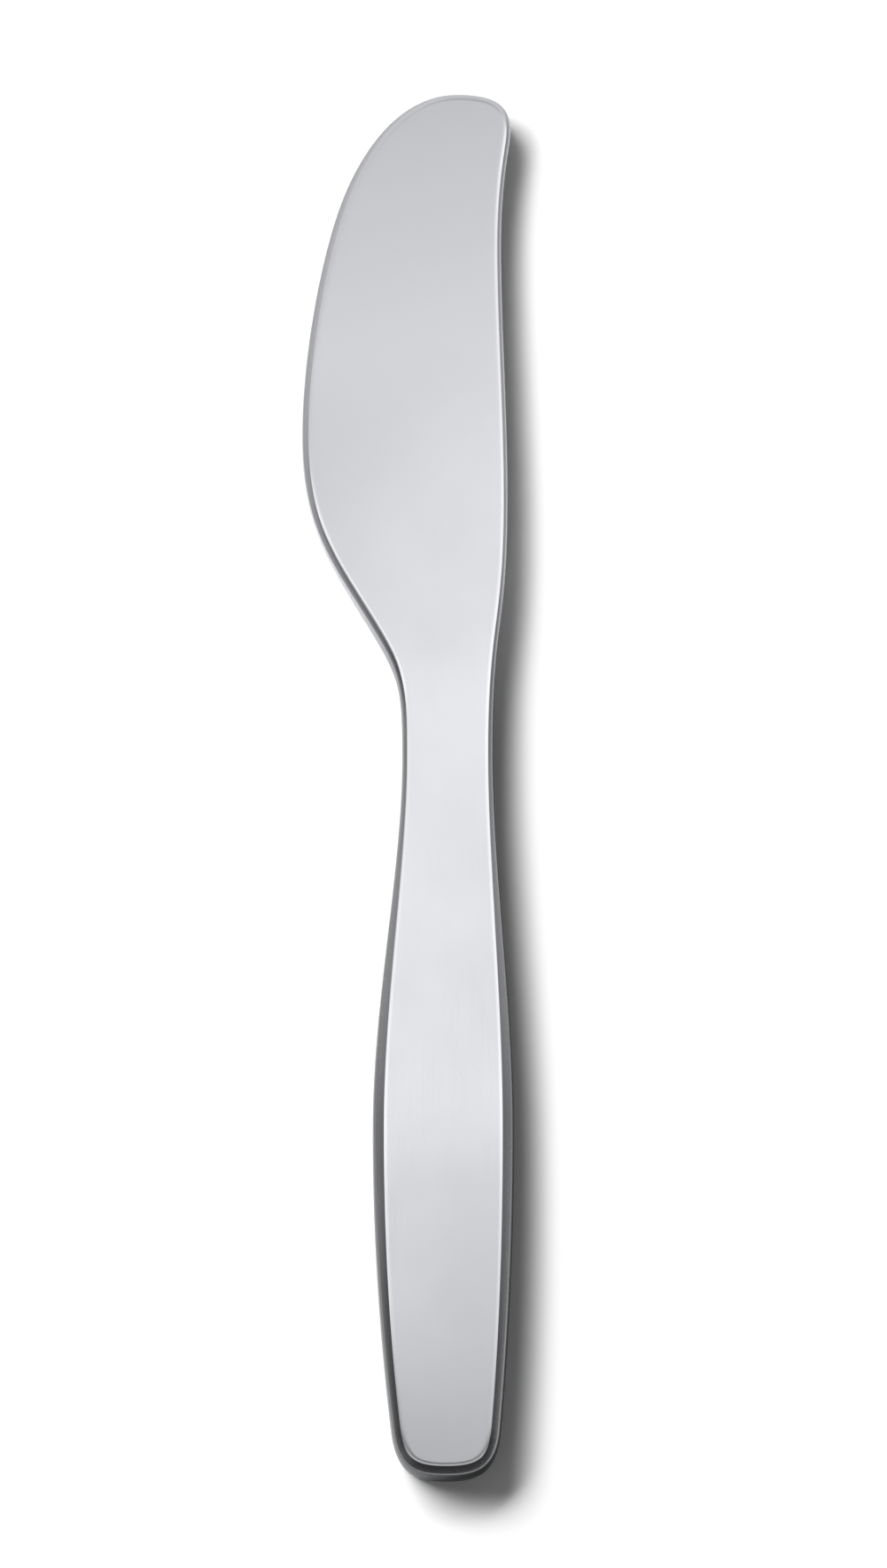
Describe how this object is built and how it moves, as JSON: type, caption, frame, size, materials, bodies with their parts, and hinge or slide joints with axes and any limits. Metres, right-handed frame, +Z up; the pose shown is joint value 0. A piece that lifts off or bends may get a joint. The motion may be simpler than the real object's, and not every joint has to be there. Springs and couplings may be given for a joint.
{
  "type": "butter knife",
  "caption": "Solid stainless steel butter knife with a flat, round-ended spreading blade, a narrow neck and a gently widened handle with rolled sides.",
  "frame": {"origin": "on the flat underside of the handle, level with its widest place and on the centre line through the middle of the butt", "axes": "+Y from the butt to the tip of the blade, +X towards the spine, -X towards the cutting edge, +Z up from the surface that the knife lies on"},
  "size_m": [0.0248, 0.17, 0.0042],
  "materials": {
    "steel": "fine satin stainless steel, with brighter worn creases"
  },
  "bodies": {
    "root": {"knife": "steel"}
  },
  "joints": []
}
